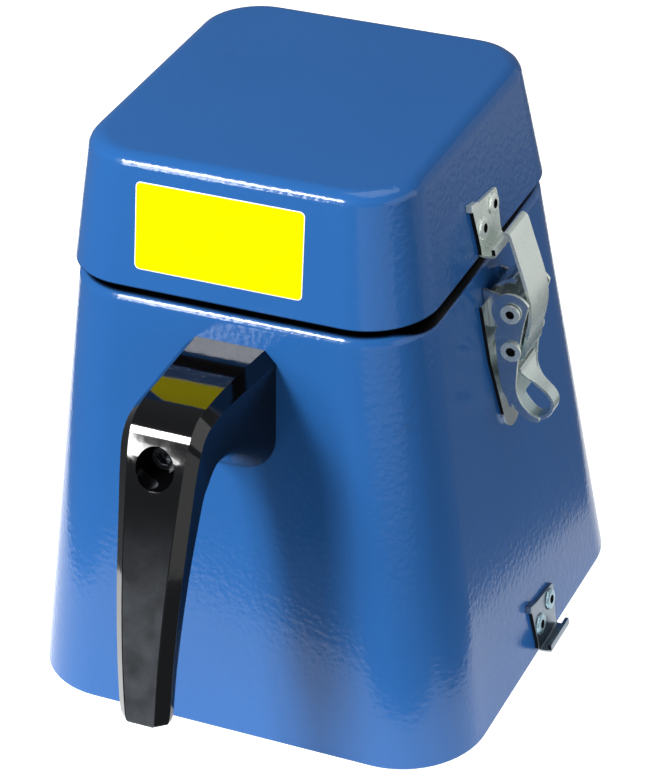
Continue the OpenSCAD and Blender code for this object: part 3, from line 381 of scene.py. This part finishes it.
def settle(piece, finish, body, angle=30):
    """Puts the piece's place into its mesh, shades it, dresses it and hangs it on its body."""
    take(piece)
    bpy.ops.object.transform_apply(location=True, rotation=True, scale=True)
    bpy.ops.object.shade_smooth_by_angle(angle=math.radians(angle))
    # Faces marked for painted shade keep it as a second finish
    painted_shade_marks = [face.material_index for face in piece.data.polygons]
    piece.data.materials.clear()
    piece.data.materials.append(finish)
    if any(painted_shade_marks):
        piece.data.materials.append(PAINTED_SHADE)
        piece.data.polygons.foreach_set("material_index", painted_shade_marks)
    clear_hands()
    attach(piece, body)


def modifier(piece, kind, **settings):
    """Adds a modifier to a piece and applies it."""
    take(piece)
    made = piece.modifiers.new(kind.title(), kind)
    for key, setting in settings.items():
        setattr(made, key, setting)
    bpy.ops.object.modifier_apply(modifier=made.name)


def recut(node, name, body, edge=0.0, angle=30, bores=False, finish=None):
    """A copy of a CAD node, welded into one skin, with its sharp edges broken; it replaces it."""
    source = mill[node]
    piece = source.copy()
    piece.data = source.data.copy()
    piece.name = name
    piece.parent = None
    for key in list(piece.keys()):
        del piece[key]
    scene.collection.objects.link(piece)
    edit(piece)
    bpy.ops.mesh.select_all(action="SELECT")
    bpy.ops.mesh.remove_doubles(threshold=0.01 * MM)
    bpy.ops.mesh.dissolve_limited(angle_limit=math.radians(0.3))
    clear_hands()
    if bores:
        shade_bores(piece)
    if edge:
        modifier(piece, "BEVEL", width=edge * MM, segments=2, limit_method="ANGLE",
                 angle_limit=math.radians(40), use_clamp_overlap=True, harden_normals=False)
    slot_name = next(s["material_slot"] for s in frame["record"]["subparts"] if s["node"] == node)
    settle(piece, finish or FINISHES[slot_name], body, angle)
    modifier(piece, "WEIGHTED_NORMAL", keep_sharp=True)
    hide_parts(node)
    return piece


def shade_bores(piece):
    """Gives the walls and floor of small holes, which face each other, a second finish of painted
    shade.
    """
    mesh = edit(piece)
    tree = BVHTree.FromBMesh(mesh)
    walls = set()
    for face in mesh.faces:
        start = face.calc_center_median() + face.normal * 0.02 * MM
        if tree.ray_cast(start, face.normal, BORE_WIDTH)[0]:
            walls.add(face)
    for face in mesh.faces:
        rim = {other for edge in face.edges for other in edge.link_faces} - {face}
        face.material_index = 1 if face in walls or rim <= walls else 0
    bmesh.update_edit_mesh(piece.data)
    clear_hands()


def dress_nodes():
    """Gives every CAD node the finish of its material slot."""
    for part in frame["record"]["subparts"]:
        node = mill[part["node"]]
        node.data.materials.clear()
        node.data.materials.append(FINISHES[part["material_slot"]])


# ---------------------------------------------------------------- shells and fittings
def painted_shells():
    """The housing and the lid, only welded and shaded anew."""
    recut("housing_shell", "housing", "root", 0.0, 25)
    recut("lid_shell", "lid", "lid", 0.0, 25)


def latch_plates(painted_highlight_zinc):
    """The latch's plate and the two hook plates, with painted shade on the rims of their
    front-facing side.

    The latch's plate has a rim where a face is long and narrow, a hook plate behind its lip.
    """
    # The lower hook plate takes the zinc with painted shade, the lid's hook plate the zinc with a
    # painted highlight
    for node, name, body, finish in (("latch_base", "latch_plate", "root", None),
                                     ("lower_keeper", "lower_hook_plate", "root", zinc_painted_shade()),
                                     ("lid_keeper", "lid_hook_plate", "lid", painted_highlight_zinc)):
        piece = recut(node, name, body, 0.25, finish=finish)
        piece.data.materials.append(PAINTED_SHADE)
        spots = [v.co for v in piece.data.vertices]
        front = min(spot.y for spot in spots)
        for face in piece.data.polygons:
            if node == "latch_base":
                longest = max((spots[a] - spots[b]).length for a, b in face.edge_keys)
                rim = longest > 8 * MM and face.area < 2.2 * MM * longest
            else:
                rim = face.center.y > front + 1.5 * MM
            # Painted shade on the rims that face the front
            if rim and face.normal.y < -0.85:
                face.material_index = 1


def lever_piece(painted_highlight_zinc):
    """The lever, with its rear cheek's tip drawn in and with a painted highlight on its rims and
    web.
    """
    rear_cheek, tip_top, tip_start, tip_cut = 10.4 * MM, 126 * MM, 100 * MM, 3.4 * MM
    piece = recut("latch_lever", "lever", "lever", 0.3)
    for vertex in piece.data.vertices:
        spot = vertex.co
        if spot.y > rear_cheek and spot.x > tip_start and spot.z < tip_top:
            spot.x -= tip_cut * min(1, (spot.x - tip_start) / (2 * MM))
    piece.data.materials.append(painted_highlight_zinc)
    # Faces that don't face along y, the rims and the web, take the zinc with the painted highlight
    for face in piece.data.polygons:
        face.material_index = int(abs(face.normal.y) < 0.4)


def plated_fittings():
    """The latch, the hook plates, the handle's screw and all rivets and pins seen outside."""
    # Zinc with a painted highlight above 150 mm and a painted blue reflection below 100 mm
    painted_highlight_zinc = zinc_painted_highlight("zinc_painted_highlight", 100, 150)
    latch_plates(painted_highlight_zinc)
    # The handle's screw takes the painted shade of its counterbore
    recut("handle_screw", "grip_screw", "root", 0.2, finish=screw_painted_shade())
    lever_piece(painted_highlight_zinc)
    # The claw's zinc has a painted highlight above 182 mm and a painted blue reflection below 140
    # mm
    recut("spring_claw", "claw", "claw", 0.25, finish=zinc_painted_highlight("claw_zinc_painted_highlight", 140, 182))
    # The rivets and pins take the zinc with the painted highlight, with painted shade in their
    # bores
    for node, name, body in (("latch_rivets", "latch_plate_rivets", "root"),
                             ("latch_pin", "lever_pin", "root"),
                             ("claw_pin", "claw_cross_pin", "lever"),
                             ("lid_keeper_rivets", "lid_hook_rivets", "lid"),
                             ("lower_keeper_rivets", "lower_hook_rivets", "root")):
        recut(node, name, body, 0.15, bores=True, finish=painted_highlight_zinc)


# ---------------------------------------------------------------- handle
def smooth_line(points, steps):
    """Points on a curve that passes through all the given ones."""
    line = []
    for i in range(len(points) - 1):
        a, b = points[max(i - 1, 0)], points[i]
        c, d = points[i + 1], points[min(i + 2, len(points) - 1)]
        for k in range(steps):
            t = k / steps
            line.append([0.5 * (2 * q + (r - p) * t + (2 * p - 5 * q + 4 * r - s) * t * t
                                + (3 * q - p - 3 * r + s) * t ** 3)
                         for p, q, r, s in zip(a, b, c, d)])
    return line + [list(points[-1])]


def grip_half(z):
    """Half the grip's width in millimetres at a height; it narrows downward."""
    return 10.8 + 6.2 * (z - 60) / 115


def handle_rings():
    """Outlines across the handle, from the housing to the grip's lower end."""
    # front y, front z, back y, back z, half width, front chamfer, back rounding
    stations = [(82.45, 177.5, 88.64, 124, 20, 5, 16),
                (100, 178.4, 103, 136, 18.8, 4.8, 12),
                (116, 178.8, 118, 148.5, 17.7, 4.5, 7),
                (130, 178.6, 129.5, 153, 17.2, 4.2, 4),
                (139.5, 176.6, 135, 151.5, 17, 4.2, 3.5),
                (145.6, 171, 138.6, 148.6, 16.9, 4.2, 3.5),
                (150.6, 161, 141.8, 144, grip_half(161), 4.2, 3.5),
                (157.2, 143.5, 146.2, 132.6, grip_half(143), 4.2, 3.5),
                (163.8, 124.2, 152, 118, grip_half(124), 4.2, 3.5),
                (169.6, 104, 158.4, 99.6, grip_half(104), 4.2, 3.5),
                (174.4, 83, 164, 80, grip_half(83), 4.2, 3.5),
                (177.8, 61.5, 168.4, 60, grip_half(61), 4.2, 3),
                (178, 58, 169.4, 57.4, grip_half(58) - 1.6, 3.8, 2.5)]
    rings = []
    for front_y, front_z, back_y, back_z, half, chamfer, turn in smooth_line(stations, 4):
        front = Vector((0, -front_y, front_z))
        back = Vector((0, -back_y, back_z))
        depth = (front - back).length
        out = (front - back).normalized()
        outline = [(-half + chamfer, depth), (-half, depth - chamfer)]
        for step in range(7):
            angle = step * math.pi / 12
            outline.append((-half + turn - turn * math.cos(angle), turn - turn * math.sin(angle)))
        outline += [(-x, d) for x, d in reversed(outline)]
        rings.append([(back + out * d) * MM + Vector((x * MM + HANDLE_X, 0, 0))
                      for x, d in outline])
    return rings


def handle_piece():
    """The handle, extruded ring by ring, with the screw's holes cut; it replaces the solid's."""
    rings = handle_rings()
    clear_hands()
    bpy.ops.mesh.primitive_circle_add(vertices=len(rings[0]), fill_type="NGON")
    piece = bpy.context.object
    piece.name = "grip"
    bpy.ops.object.mode_set(mode="EDIT")
    mesh = bmesh.from_edit_mesh(piece.data)
    last = [v.co.copy() for v in mesh.verts]
    for number, ring in enumerate(rings):
        if number:
            bpy.ops.mesh.extrude_region_move()
            mesh = bmesh.from_edit_mesh(piece.data)
        # Each corner of the moving end goes to the ring's point of the same number
        chosen = [v for v in mesh.verts if v.select]
        moves = [(v, min(range(len(last)), key=lambda i: (last[i] - v.co).length)) for v in chosen]
        for v, i in moves:
            v.co = ring[i]
        bmesh.update_edit_mesh(piece.data)
        last = [point.copy() for point in ring]
    bpy.ops.mesh.select_all(action="SELECT")
    bpy.ops.mesh.normals_make_consistent(inside=False)
    clear_hands()
    # The screw's counterbore and its shank's hole: sides, radius, depth and middle in y
    for sides, radius, depth, middle in ((64, 8.2, 60, -168), (32, 4, 80, -110)):
        bpy.ops.mesh.primitive_cylinder_add(vertices=sides, radius=radius * MM, depth=depth * MM,
                                            location=(HANDLE_X, middle * MM, GRIP_SCREW_Z),
                                            rotation=(math.pi / 2, 0, 0))
        cutter = bpy.context.object
        modifier(piece, "BOOLEAN", object=cutter, operation="DIFFERENCE", solver="EXACT")
        bpy.data.objects.remove(cutter)
        clear_hands()
    modifier(piece, "BEVEL", width=0.6 * MM, segments=3, limit_method="ANGLE",
             angle_limit=math.radians(28), use_clamp_overlap=True)
    settle(piece, FINISHES["gloss_black"], "root", 30)
    modifier(piece, "WEIGHTED_NORMAL", keep_sharp=True, weight=90)
    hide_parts("handle")


# ---------------------------------------------------------------- panel on the lid's front
def front_panel():
    """A bare foil with a white border, on the leaning front of the lid."""
    lean = math.atan2(LID_FRONT - CROWN_FRONT, LID_HEIGHT)
    rise = 26 * MM
    middle = Vector((-4.2 * MM, -(LID_FRONT - rise * math.tan(lean)), LID_EDGE + rise))
    # name, width, height, corner, thickness, finish
    foils = (("panel_border", 72.6, 36.4, 2.2, 0.22, white_foil()),
             ("front_panel", 71.8, 35.6, 1.9, 0.34, glowing_yellow_foil()))
    for name, width, height, turn, thick, finish in foils:
        clear_hands()
        bpy.ops.mesh.primitive_plane_add(size=1)
        piece = bpy.context.object
        piece.name = name
        edit(piece)
        bpy.ops.mesh.select_all(action="SELECT")
        bpy.ops.transform.resize(value=(width * MM, height * MM, 1))
        bpy.ops.mesh.bevel(offset=turn * MM, segments=6, affect="VERTICES", profile=0.5)
        bpy.ops.mesh.extrude_region_move(TRANSFORM_OT_translate={"value": (0, 0, thick * MM)})
        bpy.ops.mesh.select_all(action="SELECT")
        bpy.ops.mesh.normals_make_consistent(inside=False)
        clear_hands()
        upright = Matrix.Rotation(math.pi / 2 - lean, 4, "X")
        piece.matrix_world = Matrix.Translation(middle) @ upright
        modifier(piece, "BEVEL", width=0.08 * MM, segments=2, limit_method="ANGLE")
        settle(piece, finish, "lid")


# ---------------------------------------------------------------- stage
# Area lights aimed at the mill's middle: name, place, size, power, roll in degrees
LIGHTS = (("key", (-0.56, -1.08, 1.05), (0.34, 0.3), 25, 0),
          ("patch", (-0.39, -0.83, 0.46), (0.09, 0.36), 3.4, 15),
          ("fill", (0.9, -1.35, 0.05), (1.6, 0.8), 3, 0),
          ("side", (1.9, -0.1, 0.75), (2.4, 1.6), 15, 0),
          ("rear", (0.85, 0.75, 0.2), (1.3, 0.9), 1.4, 0),
          ("top", (0.1, 0.3, 1.8), (1.0, 1.0), 7, 0))
SHEET = ((-0.13, -0.27), (0.2, -0.13), (-0.62, 0.6), (-0.05, 0.75))


def floor_and_light():
    """A white sheet no larger than the view needs, so the sides mirror a dim room."""
    clear_hands()
    bpy.ops.mesh.primitive_plane_add(size=1)
    sheet = bpy.context.object
    sheet.name = "studio_sheet"
    for vertex, (x, y) in zip(sheet.data.vertices, SHEET):
        vertex.co = (x, y, BENCH)
    finish = Finish("studio_paper", (0.86, 0.86, 0.86), 0.9,
                    Emission_Color=(1, 1, 1), Emission_Strength=0.75)
    finish.tones(finish.noise(300, 2), (0.85, 0.85, 0.85), (0.88, 0.88, 0.88))
    sheet.data.materials.append(finish.material)
    clear_hands()
    world = bpy.data.worlds.new("studio_air")
    scene.world = world
    world.use_nodes = True
    world.node_tree.nodes["Background"].inputs[0].default_value = (0.9, 0.95, 1, 1)
    world.node_tree.nodes["Background"].inputs[1].default_value = 0.22
    scene.view_settings.view_transform = "Standard"
    for name, where, size, power, roll in LIGHTS:
        bpy.ops.object.light_add(type="AREA", location=where)
        lamp = bpy.context.object
        lamp.name = name + "_light"
        lamp.data.shape = "RECTANGLE"
        lamp.data.size, lamp.data.size_y = size
        lamp.data.energy = power
        aim = (Vector(where) - Vector((0, 0, 0.12))).to_track_quat("Z", "Y").to_matrix()
        lamp.rotation_euler = (aim @ Matrix.Rotation(math.radians(roll), 3, "Z")).to_euler()


def camera():
    """The photograph's view, as fitted to the mill's outline."""
    bpy.ops.object.camera_add()
    eye = bpy.context.object
    eye.data.sensor_width = 36
    eye.data.lens = 149.396
    eye.data.shift_x = 0.0060
    eye.data.shift_y = -0.0412
    eye.data.clip_start = 0.05
    right = Vector((0.91100, 0.41065, -0.03799))
    up = Vector((-0.18754, 0.49457, 0.84866))
    back = right.cross(up)
    turn = Matrix((right, up, back)).transposed().to_4x4()
    eye.matrix_world = Matrix.Translation(Vector((0.50057, -1.04399, 0.84151))) @ turn
    scene.camera = eye


clear_hands()
dress_nodes()
camera()
floor_and_light()
painted_shells()
plated_fittings()
handle_piece()
front_panel()
clear_hands()
